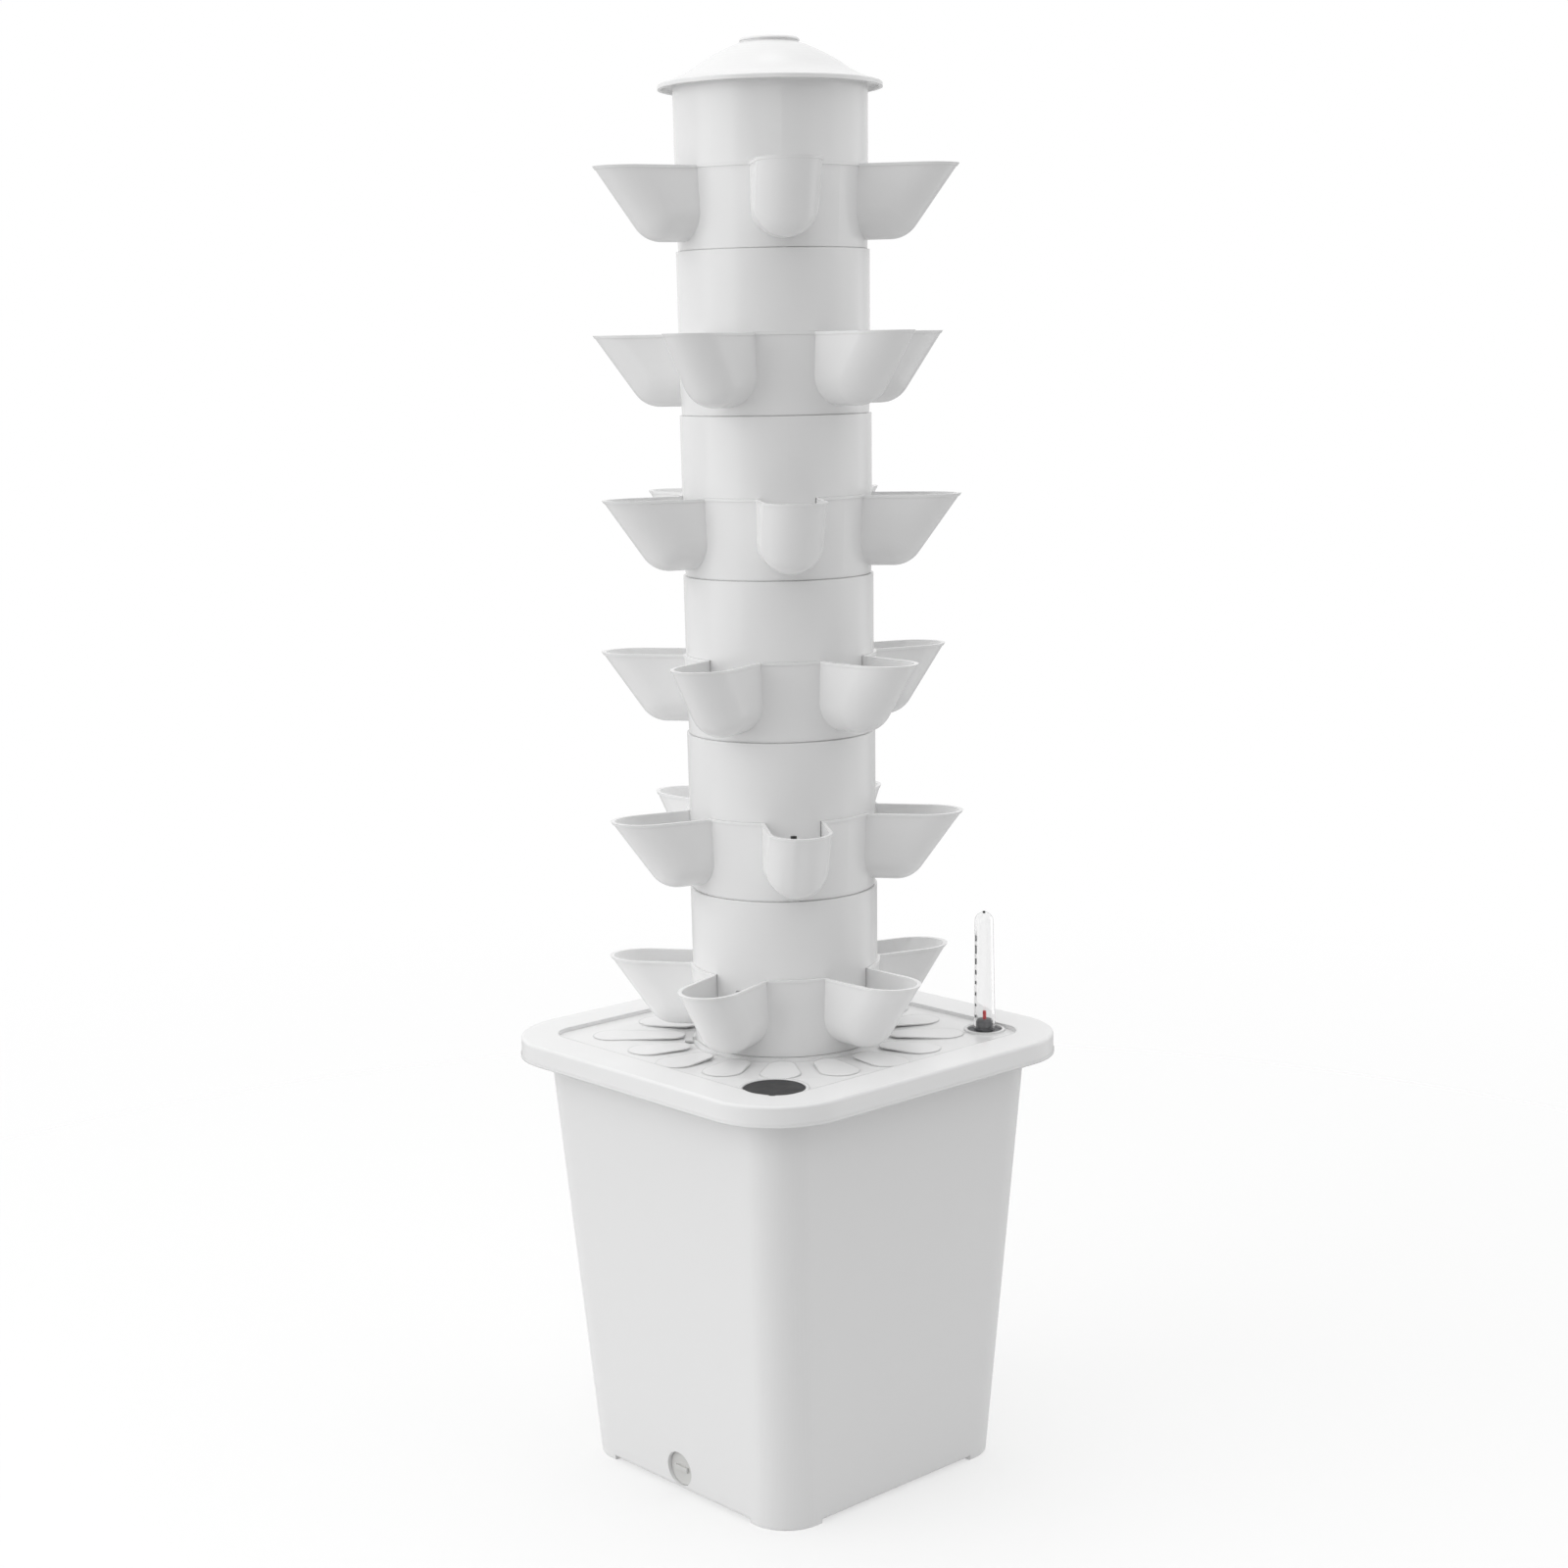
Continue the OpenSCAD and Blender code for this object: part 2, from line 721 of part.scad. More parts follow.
// Plug in the lid: a flange, a neck below it and a ribbed barrel that the clear tube slips over
module gauge_plug() {
    foot_r = gauge_tube_r - gauge_wall - fit_gap;
    color("dimgray")
        translate([gauge_x, gauge_y, 0])
            difference() {
                translate([0, 0, plug_seat_z])
                    rotate_extrude($fn = small_fn)
                        polygon([
                            [stem_r + run_gap, -gauge_neck_h],
                            [cage_r, -gauge_neck_h],
                            [cage_r, 0],
                            [gauge_hole_r - fit_gap, 0],
                            [gauge_hole_r - fit_gap, gauge_flange_t],
                            [foot_r, gauge_flange_t],
                            [foot_r, gauge_flange_t + gauge_cone_h],
                            [gauge_barrel_r - gauge_groove_d, gauge_flange_t + gauge_cone_h],
                            [gauge_barrel_r - gauge_groove_d, gauge_flange_t + gauge_cone_h + gauge_groove_h],
                            [gauge_barrel_r, gauge_flange_t + gauge_cone_h + gauge_groove_h],
                            [gauge_barrel_r, gauge_flange_t + gauge_barrel_h - gauge_groove_h],
                            [gauge_barrel_r - gauge_groove_h, gauge_flange_t + gauge_barrel_h],
                            [stem_r + run_gap, gauge_flange_t + gauge_barrel_h]
                        ]);
            }
}

// Points of a quarter circle that closes a tube at the top, as [radius, height] pairs
function dome_arc(r, z) = [for (a = [0 : 10 : 90]) [r * cos(a), z + r * sin(a)]];

module gauge_tube() {
    shoulder_z = gauge_tube_h - gauge_column_r;
    color("aliceblue", 0.4)
        translate([gauge_x, gauge_y, gauge_tube_z])
            difference() {
                rotate_extrude($fn = small_fn)
                    polygon(concat([[0, 0], [gauge_tube_r, 0]], dome_arc(gauge_column_r, shoulder_z)));
                translate([0, 0, -over])
                    cylinder(r = gauge_tube_r - gauge_wall, h = 2 * over, $fn = small_fn);
                rotate_extrude($fn = small_fn)
                    polygon(concat([[0, 0], [gauge_tube_r - gauge_wall, 0]],
                        dome_arc(gauge_column_r - gauge_wall, shoulder_z)));
                cylinder(r = gauge_vent_r, h = gauge_tube_h + over, $fn = small_fn);
            }
}

// Slotted cage under the plug, closed at its foot, with a hole for water
module gauge_cage() {
    color("gainsboro")
        translate([gauge_x, gauge_y, cage_top_z - cage_h])
            difference() {
                cylinder(r = cage_r, h = cage_h, $fn = small_fn);
                translate([0, 0, cage_t])
                    cylinder(r = cage_r - cage_t, h = cage_h, $fn = small_fn);
                translate([0, 0, -over])
                    cylinder(r = cage_slot_w / 2, h = cage_t + 2 * over, $fn = small_fn);
                for (a = [0, 90], i = [0 : cage_rows - 1])
                    rotate([0, 0, a])
                        translate([-gauge_hole_r, -cage_slot_w / 2, cage_rib_h + i * cage_step])
                            cube([2 * gauge_hole_r, cage_slot_w, cage_step - cage_rib_h]);
            }
}

module gauge_float() {
    color("whitesmoke")
        translate([gauge_x, gauge_y, float_z])
            difference() {
                cylinder(r = float_r, h = float_h, $fn = small_fn);
                translate([0, 0, float_h / 2])
                    cylinder(r = stem_r, h = float_h, $fn = small_fn);
            }
}

module gauge_stem() {
    color("firebrick")
        translate([gauge_x, gauge_y, float_z + float_h / 2])
            cylinder(r = stem_r, h = stem_top_z - float_z - float_h / 2, $fn = small_fn);
}

// A round bar along Y through the pump, from one distance behind its front to another
module pump_bar(r, from, to) {
    translate([0, pump_front + from, chamber_z])
        rotate([-90, 0, 0])
            cylinder(r = r, h = to - from, $fn = small_fn);
}

// A block with rounded long edges, standing on the suction feet
module pump_block(from, to, inset) {
    half_w = pump_w / 2 - inset;
    translate([0, pump_front + to, pump_z + pump_body_h / 2])
        rotate([90, 0, 0])
            linear_extrude(to - from) {
                square([2 * half_w, pump_body_h - 2 * (inset + pump_edge_r)], center = true);
                square([2 * (half_w - pump_edge_r), pump_body_h - 2 * inset], center = true);
                for (x = [-1, 1], y = [-1, 1])
                    translate([
                        x * (half_w - pump_edge_r),
                        y * (pump_body_h / 2 - inset - pump_edge_r)
                    ])
                        circle(r = pump_edge_r, $fn = small_fn);
            }
}

module pump_housing() {
    color("darkslategray")
        difference() {
            union() {
                pump_block(0, pump_l, 0);
                translate([0, pump_front + pump_l - over, pump_z + pump_body_h - pump_edge_r - cord_boss_r])
                    rotate([-90, 0, 0])
                        cylinder(r = cord_boss_r, h = cord_boss_l + over, $fn = small_fn);
            }
            pump_bar(chamber_r, -over, chamber_l);
            pump_bar(rotor_r + rotor_gap, 0, rotor_to + rotor_gap);
            pump_bar(shaft_r, 0, rotor_to + shaft_seat);
            translate([0, 0, chamber_z])
                cylinder(r = outlet_bore_r, h = pump_body_h, $fn = small_fn);
            translate([0, pump_front + pump_l, pump_z + pump_body_h - pump_edge_r - cord_boss_r])
                rotate([-90, 0, 0])
                    cylinder(r = cord_bore_r, h = cord_boss_l + over, $fn = small_fn);
        }
}

// Intake cover: a slotted cup on the front of the housing
module pump_cover() {
    color("darkslategray")
        difference() {
            pump_block(-pump_cover_l, 0, 0);
            pump_block(-pump_cover_l + cover_t, over, cover_t);
            for (i = [0 : grille_slot_n - 1])
                translate([
                    (i - (grille_slot_n - 1) / 2) * grille_pitch - grille_slot_w / 2,
                    pump_front - pump_cover_l - over,
                    pump_z + pump_edge_r + cover_t
                ])
                    cube([grille_slot_w, cover_t + 2 * over, pump_body_h - 2 * (pump_edge_r + cover_t)]);
        }
}

module pump_outlet() {
    z = pump_z + pump_body_h;
    color("darkslategray")
        translate([0, 0, z])
            difference() {
                union() {
                    cylinder(r = outlet_flange_r, h = outlet_flange_t, $fn = small_fn);
                    cylinder(r = outlet_r, h = outlet_h, $fn = small_fn);
                }
                translate([0, 0, -over])
                    cylinder(r = outlet_bore_r, h = outlet_h + 2 * over, $fn = small_fn);
            }
}

// Rotor with a bladed wheel in front, bored to turn on the shaft
module pump_impeller() {
    color("silver")
        difference() {
            union() {
                pump_bar(impeller_r, chamber_l - 2 * impeller_disc_t, chamber_l - impeller_disc_t);
                pump_bar(impeller_hub_r, chamber_l - impeller_disc_t - blade_l, rotor_from + over);
                pump_bar(rotor_r, rotor_from, rotor_to);
                for (i = [0 : blade_n - 1])
                    translate([0, pump_front + chamber_l - impeller_disc_t - blade_l, chamber_z])
                        rotate([0, i * 360 / blade_n, 0])
                            translate([shaft_r + blade_t, 0, -blade_t / 2])
                                cube([impeller_r - shaft_r - 2 * blade_t, blade_l, blade_t]);
            }
            pump_bar(shaft_r + run_gap, 0, rotor_to + over);
        }
}

module pump_shaft() {
    color("ivory")
        pump_bar(shaft_r, cover_t - pump_cover_l, rotor_to + shaft_seat);
}

// Four suction feet under the pump's corners
module pump_feet() {
    color("dimgray")
        for (x = [-1, 1], y = [suction_in, pump_l - suction_in])
            translate([x * (pump_w / 2 - suction_in), pump_front + y, floor_z]) {
                cylinder(r1 = suction_r, r2 = suction_neck_r, h = suction_h / 2, $fn = small_fn);
                cylinder(r = suction_neck_r, h = suction_h, $fn = small_fn);
            }
}

// Pipe from the pump's outlet to the joint under the lowest tier
module riser_base() {
    z = pump_z + pump_body_h + outlet_flange_t;
    color("lightgray")
        translate([0, 0, z])
            difference() {
                cylinder(r = pipe_r, h = seat_z(tier_n) - pipe_joint_drop - z, $fn = small_fn);
                translate([0, 0, -over])
                    cylinder(r = pipe_bore_r, h = tank_h, $fn = small_fn);
            }
}

// One length of riser: its plug goes into the length below, its flange rests on the ring's hub
module riser_pipe(k) {
    z = seat_z(k) - pipe_joint_drop;
    flange_z = seat_z(k) + hub_h;
    color("lightgray")
        difference() {
            union() {
                translate([0, 0, z])
                    cylinder(r = pipe_r, h = tier_pitch, $fn = small_fn);
                translate([0, 0, z - pipe_plug_h])
                    cylinder(r = pipe_plug_r, h = pipe_plug_h + over, $fn = small_fn);
                translate([0, 0, flange_z])
                    cylinder(r = pipe_r + pipe_flange_w, h = pipe_flange_t, $fn = small_fn);
            }
            translate([0, 0, z + over])
                cylinder(r = pipe_bore_r, h = tier_pitch, $fn = small_fn);
            translate([0, 0, z - pipe_plug_h - over])
                cylinder(r = pipe_plug_r - pipe_plug_t, h = pipe_plug_h + 3 * over, $fn = small_fn);
        }
}

// One pocket as a solid of half width r: a toe ball, a leaning front, a round floor and flat sides
module pocket_body(r, top_z) {
    back = pocket_toe_x - pocket_root_x;
    rise = top_z - toe_z + pocket_r;
    intersection() {
        translate([0, -2 * pocket_r, 0])
            cube([3 * pocket_toe_x, 4 * pocket_r, top_z]);
        translate([pocket_toe_x, 0, toe_z]) {
            sphere(r = r, $fn = small_fn);
            rotate([0, pocket_lean, 0])
                cylinder(r = r, h = 2 * rise, $fn = small_fn);
            rotate([0, -90, 0])
                cylinder(r = r, h = back, $fn = small_fn);
            translate([0, r - side_ease, 0])
                rotate([90, 0, 0])
                    linear_extrude(2 * (r - side_ease))
                        polygon([[0, 0], [rise * tan(pocket_lean), rise], [-back, rise], [-back, 0]]);
        }
    }
}

// The bead round a pocket's rim
module pocket_bead() {
    intersection() {
        pocket_body(pocket_r + bead_out, pocket_top);
        translate([0, -2 * pocket_r, pocket_top - bead_h])
            cube([3 * pocket_toe_x, 4 * pocket_r, bead_h + over]);
    }
}

// Everything that a ring's pockets repeat
module each_pocket() {
    for (i = [0 : pocket_n - 1])
        rotate([0, 0, i * pocket_step])
            children();
}

// A flat band between two radii
module ring_band(inner, outer, h) {
    difference() {
        cylinder(r = outer, h = h, $fn = round_fn);
        translate([0, 0, -over])
            cylinder(r = inner, h = h + 2 * over, $fn = round_fn);
    }
}

// Pocket ring: a tapered wall with pockets, a drip floor, a hub for the pipe and a plug below
module pocket_ring(k) {
    color("white")
        translate([0, 0, seat_z(k)])
            rotate([0, 0, tier_yaw(k)])
                difference() {
                    union() {
                        rotate([0, 0, pocket_step / 2])
                            cylinder(r1 = ring_seat_r, r2 = ring_rim_r, h = ring_h, $fn = round_fn);
                        rotate([0, 0, pocket_step / 2])
                            translate([0, 0, -ring_plug_h])
                                cylinder(r = ring_plug_r, h = ring_plug_h + over, $fn = round_fn);
                        each_pocket() {
                            pocket_body(pocket_r, pocket_top);
                            pocket_bead();
                        }
                        rotate([0, 0, pocket_step / 2])
                            translate([0, 0, ring_h - bead_h])
                                cylinder(r = ring_rim_r + bead_out, h = bead_h, $fn = round_fn);
                        translate([ring_plug_r - key_in, -key_w / 2, -key_h])
                            cube([key_r - ring_plug_r + key_in, key_w, key_h + over]);
                    }
                    difference() {
                        rotate([0, 0, pocket_step / 2])
                            translate([0, 0, -over])
                                ring_band(ring_seat_r - seam_d, ring_rim_r, seam_h + over);
                        translate([0, -key_w / 2, -2 * over])
                            cube([key_r, key_w, seam_h + 3 * over]);
                    }
                    difference() {
                        rotate([0, 0, pocket_step / 2])
                            translate([0, 0, ring_floor_t])
                                cylinder(
                                    r1 = ring_bore_r(ring_floor_t),
                                    r2 = ring_bore_r(ring_h + over),
                                    h = ring_h - ring_floor_t + over,
                                    $fn = round_fn
                                );
                        cylinder(r = pipe_r + fit_gap + hub_t, h = hub_h, $fn = small_fn);
                    }
                    each_pocket()
                        pocket_body(pocket_r - pocket_wall, ring_h + over);
                    rotate([0, 0, pocket_step / 2])
                        translate([0, 0, -ring_plug_h - over])
                            cylinder(r = ring_plug_r - ring_plug_t, h = ring_plug_h + over, $fn = round_fn);
                    translate([0, 0, -over])
                        cylinder(r = pipe_r + fit_gap, h = hub_h + 2 * over, $fn = small_fn);
                    for (i = [0 : drip_n - 1])
                        rotate([0, 0, (i + 1 / 2) * 360 / drip_n])
                            translate([drip_ring_r, 0, -over])
                                cylinder(r = drip_r, h = ring_floor_t + 2 * over, $fn = small_fn);
                }
}

// Column tube: it stands on the ring's rim and reaches down inside the ring, with an apron for each pocket
module column_tube(k) {
    foot_z = ring_h - tube_spigot_h;
    top_bore_r = column_r - tube_wall;
    color("white")
        translate([0, 0, seat_z(k)])
            rotate([0, 0, tier_yaw(k)])
                difference() {
                    rotate_extrude($fn = round_fn)
                        polygon([
                            [ring_bore_r(foot_z) - fit_gap - spigot_wall, foot_z],
                            [tube_foot_r, foot_z],
                            [tube_foot_r, ring_h],
                            [column_r, tier_pitch],
                            [top_bore_r, tier_pitch],
                            [top_bore_r, tier_pitch - tray_drop],
                            [top_bore_r - tray_ledge_w, tier_pitch - tray_drop],
                            [top_bore_r - tray_ledge_w, tier_pitch - tray_drop - tray_ledge_t],
                            [tube_foot_r - tube_wall, tier_pitch - tray_drop - tray_ledge_w - tray_ledge_t],
                            [ring_bore_r(ring_h) - fit_gap - spigot_wall, ring_h]
                        ]);
                    difference() {
                        rotate_extrude($fn = round_fn)
                            polygon([
                                [ring_bore_r(foot_z - over) - fit_gap, foot_z - over],
                                [ring_rim_r, foot_z - over],
                                [ring_rim_r, ring_h],
                                [ring_bore_r(ring_h) - fit_gap, ring_h]
                            ]);
                        each_pocket()
                            translate([pocket_root_x, -apron_half, foot_z - 2 * over])
                                cube([pocket_toe_x - pocket_root_x, 2 * apron_half, tube_spigot_h + 3 * over]);
                    }
                    each_pocket()
                        translate([pocket_root_x, -slot_w / 2, foot_z - over])
                            cube([pocket_toe_x - pocket_root_x, slot_w, tube_spigot_h - slot_drop + over]);
                    rotate([0, 0, half_turn])
                        key_notch(tier_pitch);
                }
}

// Tray at the top of the column: water wells up through its hub and falls through its holes
module spreader_tray() {
    r = column_r - tube_wall - fit_gap;
    color("whitesmoke")
        translate([0, 0, column_top_z - tray_drop])
            difference() {
                union() {
                    cylinder(r = r - dome_skirt_t - fit_gap, h = tray_rim_h, $fn = round_fn);
                    cylinder(r = r, h = tray_t, $fn = round_fn);
                }
                translate([0, 0, tray_t])
                    difference() {
                        cylinder(r = r - dome_skirt_t - fit_gap - tray_t, h = tray_rim_h, $fn = round_fn);
                        cylinder(r = pipe_r + fit_gap + hub_t, h = tray_hub_h - tray_t, $fn = small_fn);
                    }
                translate([0, 0, -over])
                    cylinder(r = pipe_r + fit_gap, h = tray_hub_h + 2 * over, $fn = small_fn);
                for (i = [0 : tray_hole_n - 1])
                    rotate([0, 0, (i + 1 / 2) * 360 / tray_hole_n])
                        translate([drip_ring_r, 0, -over])
                            cylinder(r = tray_hole_r, h = tray_t + 2 * over, $fn = small_fn);
            }
}

// The dome's outline: points on an arc that runs from one slope to another, as [radius, height]
function arc_points(start, r, from, to, n) = [
    for (i = [0 : n])
        let (a = from + (to - from) * i / n)
            [start[0] + r * (sin(a) - sin(from)), start[1] + r * (cos(a) - cos(from))]
];

module dome_outline(drop) {
    crown = arc_points([crown_r, dome_h], dome_arc_r, dome_top_slope, dome_steep_slope, 8);
    flare = arc_points(crown[8], -flare_arc_r, dome_steep_slope, brim_slope, 6);
    edge = arc_points([brim_top_r, brim_top_z], brim_edge_r, brim_slope, 90, 4);
    translate([0, -drop])
        polygon(concat(
            [[0, dome_h]],
            crown,
            [for (i = [1 : 6]) flare[i]],
            edge,
            [
                [brim_r, -brim_lip_h],
                [brim_r - brim_lip_t, -brim_lip_h],
                [brim_r - brim_lip_t, 0],
                [0, 0]
            ]
        ));
}

module dome_lid() {
    color("white")
        translate([0, 0, column_top_z])
            difference() {
                union() {
                    rotate_extrude($fn = round_fn)
                        dome_outline(0);
                    translate([0, 0, -dome_skirt_h])
                        cylinder(r = dome_skirt_r, h = dome_skirt_h + over, $fn = round_fn);
                }
                intersection() {
                    rotate_extrude($fn = round_fn)
                        dome_outline(dome_t);
                    translate([0, 0, -dome_skirt_h])
                        cylinder(r = dome_skirt_r - dome_skirt_t, h = dome_skirt_h + dome_h, $fn = round_fn);
                }
                translate([0, 0, -dome_skirt_h - over])
                    cylinder(r = dome_skirt_r - dome_skirt_t, h = dome_skirt_h + 2 * over, $fn = round_fn);
                cylinder(r = crown_hole_r, h = dome_h + over, $fn = small_fn);
            }
}

// Cap that closes the hole at the top of the dome
module crown_cap() {
    neck_r = crown_r - crown_inset;
    stem_r = crown_hole_r - fit_gap;
    disc_z = dome_h + crown_neck_h;
    color("white")
        translate([0, 0, column_top_z])
            difference() {
                rotate_extrude($fn = round_fn)
                    polygon([
                        [0, dome_h - crown_stem_h],
                        [stem_r, dome_h - crown_stem_h],
                        [stem_r, dome_h],
                        [neck_r, dome_h],
                        [neck_r, disc_z],
                        [crown_r, disc_z],
                        [crown_r, disc_z + crown_disc_t - crown_edge_r],
                        [crown_r - crown_edge_r, disc_z + crown_disc_t],
                        [0, disc_z + crown_disc_t]
                    ]);
                translate([0, 0, dome_h - crown_stem_h - over])
                    cylinder(r = stem_r - crown_stem_t, h = crown_stem_h + over, $fn = small_fn);
            }
}

tank();
drain_plug();
drain_seal();
tank_lid();
fill_cap();
gauge_plug();
gauge_tube();
gauge_cage();
gauge_float();
gauge_stem();
pump_housing();
pump_cover();
pump_outlet();
pump_impeller();
pump_shaft();
pump_feet();
riser_base();
for (k = [1 : tier_n]) {
    pocket_ring(k);
    column_tube(k);
    riser_pipe(k);
}
spreader_tray();
dome_lid();
crown_cap();
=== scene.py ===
"""Looks of a vertical planter tower: white moulded tiers on a square water tank, with a clear level gauge."""

import math

import bpy
from mathutils import Matrix, Vector


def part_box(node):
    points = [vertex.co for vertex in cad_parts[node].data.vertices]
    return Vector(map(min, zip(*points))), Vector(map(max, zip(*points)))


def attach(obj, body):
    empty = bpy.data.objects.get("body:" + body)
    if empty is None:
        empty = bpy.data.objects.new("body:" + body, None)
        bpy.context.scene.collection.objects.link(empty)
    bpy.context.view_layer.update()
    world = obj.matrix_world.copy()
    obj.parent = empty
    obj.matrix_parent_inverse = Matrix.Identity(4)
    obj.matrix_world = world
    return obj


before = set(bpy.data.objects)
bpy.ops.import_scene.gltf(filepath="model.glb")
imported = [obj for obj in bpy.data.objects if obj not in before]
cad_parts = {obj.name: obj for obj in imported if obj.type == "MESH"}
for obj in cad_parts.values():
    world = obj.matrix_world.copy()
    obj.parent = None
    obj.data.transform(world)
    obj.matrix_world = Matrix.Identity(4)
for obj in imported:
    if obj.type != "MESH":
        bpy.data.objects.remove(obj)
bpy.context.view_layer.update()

MM = 0.001
TIERS = range(1, 7)
SMOOTH_ANGLE = math.radians(40)

# Colours of the finishes, as sRGB hex
WHITE_ABS = "F3F3F3"
WHITE_TANK = "EFEFEF"
PALE_INSIDE = "D4D4D2"
CAP_GREY = "343435"
BARREL_GREY = "66676A"
SEAL_BLACK = "202123"
TUBE_CLEAR = "FAFAFA"
ROD_RED = "DA1E28"
FOAM_WHITE = "E8E7E0"
PUMP_BLACK = "26282B"
SHAFT_IVORY = "EAE6DA"
PIPE_GREY = "B9BBBD"
INK_GREY = "5C5E60"
FLOOR_WHITE = "FAFAFA"

# How strongly each stuff bends light
IOR_ABS = 1.53
IOR_PP = 1.49
IOR_SOFT_RUBBER = 1.51
IOR_NITRILE = 1.52
IOR_ACRYLIC = 1.49
IOR_POLYSTYRENE = 1.59
IOR_FOAM = 1.5
IOR_NYLON = 1.53
IOR_ALUMINA = 1.76
IOR_PVC = 1.53
IOR_INK = 1.5
IOR_FLOOR = 1.45

# The radius that light finds on moulded edges, in mm
EDGE_FINE = 0.25
EDGE_BEAD = 0.2
EDGE_TIER = 0.7
EDGE_TANK = 0.9
EDGE_LID = 1.8

# The gauge's printed bars: the height of each one's middle above the tube's foot, and its own height, in mm
GAUGE_BARS = [
    (9.5, 1.6),
    (16.5, 1.5),
    (23.5, 2.0),
    (30.5, 2.0),
    (37.0, 2.8),
    (43.8, 3.8),
    (51.3, 5.4),
    (58.3, 3.6),
]
# How much radius the tube loses for each unit of height
TUBE_DRAFT = 0.0131
INK_THICKNESS = 0.05 * MM
# The bars' direction round the tube, and how far they reach to each side of it, in degrees
MARKS_TURN = -104.5
MARKS_HALF_WIDTH = 8.0
MARKS_STEPS = 180

# The dark disc in the tube's vent hole, painted shade for the hole's dark inside; its rim, lip and dish are
# shares of its radius or depth
VENT_RADIUS = 0.85 * MM
VENT_DEPTH = 1.3 * MM
VENT_PROUD = 0.4 * MM
VENT_RIM = 0.3
VENT_LIP = 0.2
VENT_DISH = 0.4
VENT_STEPS = 32
FACES_UP = 0.9

# The floor is half clear near the tower and fades out between these distances from its middle, in m
FLOOR_RADIUS = 2.6
FLOOR_STEPS = 96
FLOOR_SHOWN = 0.5
FLOOR_FADE = (0.3, 1.7)

# The surround's brightness at the walls, at the dim side and below, and the heights between which the ground
# turns into the walls
WALLS = 0.907
DIM = 0.0
GROUND = 0.464
GROUND_TO_WALLS = (-0.25, 0.05)
# The dim side lies behind the camera, a little to its right; the walls fade to it between these cosines
DIM_SIDE = (0.839, -0.545, 0.0)
WALLS_TO_DIM = (0.55, 0.95)

# The soft boxes: name, place, the point that it faces, its two sides in m, its watts, and whether it shows in
# gloss only
SOFT_BOXES = [
    ("left_box", (-0.95, -2.6, 1.3), (0, 0, 0.5), (2.6, 2.8), 20.8, False),
    ("top_box", (0, 0, 3.0), (0, 0, 0), (2.0, 2.0), 10.3, False),
    ("front_box", (1.7, -1.5, 1.5), (0, 0, 0.45), (1.2, 1.2), 5.2, False),
    ("right_window", (1.22, 2.30, 0.6), (0, 0, 0.6), (2.54, 2.8), 12, True),
]

# The camera, as fitted to the photograph: its place in m, its turn, pitch and roll in degrees, and its lens
# in mm
CAMERA_PLACE = (1.1555, -1.0550, 0.6834)
CAMERA_TURN = 47.562
CAMERA_PITCH = 9.431
CAMERA_ROLL = -0.995
LENS = 60.24
SENSOR = 36


def linear(hex_colour):
    """An sRGB hex colour as the linear RGBA that shaders take."""
    channels = [int(hex_colour[i : i + 2], 16) / 255 for i in (0, 2, 4)]
    return [c / 12.92 if c <= 0.04045 else ((c + 0.055) / 1.055) ** 2.4 for c in channels] + [1.0]


def add(tree, kind, inputs=None, links=None, **settings):
    """Adds a node with its settings, its input values and its links."""
    node = tree.nodes.new(kind)
    for name, value in settings.items():
        setattr(node, name, value)
    for socket, value in (inputs or {}).items():
        node.inputs[socket].default_value = value
    for socket, source in (links or {}).items():
        tree.links.new(source, node.inputs[socket])
    return node


def start_material(name, colour, roughness, ior):
    """A material with its shader, and a tree to build the surface's detail in."""
    material = bpy.data.materials.new(name)
    material.use_nodes = True
    tree = material.node_tree
    shader = tree.nodes["Principled BSDF"]
    shader.inputs["Base Color"].default_value = linear(colour)
    shader.inputs["Roughness"].default_value = roughness
    shader.inputs["IOR"].default_value = ior
    return material, tree, shader


def moulded_skin(tree, shader, grain_mm, depth_mm, gloss, patch_mm, edge_mm=EDGE_FINE):
    """The skin that a steel mould leaves: rounded edges, fine relief, and gloss that drifts in wide patches.

    The gloss is the lowest and highest roughness. The relief is drawn coarser than a real mould's, which
    would be too fine to show.
    """
    place = add(tree, "ShaderNodeTexCoord").outputs["Object"]
    grain = add(
        tree,
        "ShaderNodeTexNoise",
        inputs={"Scale": 1 / (grain_mm * MM), "Detail": 3.0, "Roughness": 0.6},
        links={"Vector": place},
    )
    patches = add(
        tree,
        "ShaderNodeTexNoise",
        inputs={"Scale": 1 / (patch_mm * MM), "Detail": 2.0, "Roughness": 0.5},
        links={"Vector": place},
    )
    drift = add(
        tree,
        "ShaderNodeMapRange",
        inputs={"From Min": 0.3, "From Max": 0.7, "To Min": gloss[0], "To Max": gloss[1]},
        links={"Value": patches.outputs["Fac"]},
    )
    edges = add(tree, "ShaderNodeBevel", inputs={"Radius": edge_mm * MM}, samples=6)
    relief = add(
        tree,
        "ShaderNodeBump",
        inputs={"Strength": 0.6, "Distance": depth_mm * MM},
        links={"Height": grain.outputs["Fac"], "Normal": edges.outputs["Normal"]},
    )
    tree.links.new(drift.outputs["Result"], shader.inputs["Roughness"])
    tree.links.new(relief.outputs["Normal"], shader.inputs["Normal"])


def white_abs(name, edge_mm):
    """ABS, injection moulded in polished tools: clean white with a soft, slightly uneven gloss."""
    material, tree, shader = start_material(name, WHITE_ABS, 0.2, IOR_ABS)
    moulded_skin(
        tree, shader, grain_mm=1.4, depth_mm=0.012, gloss=(0.17, 0.25), patch_mm=38, edge_mm=edge_mm
    )
    return material


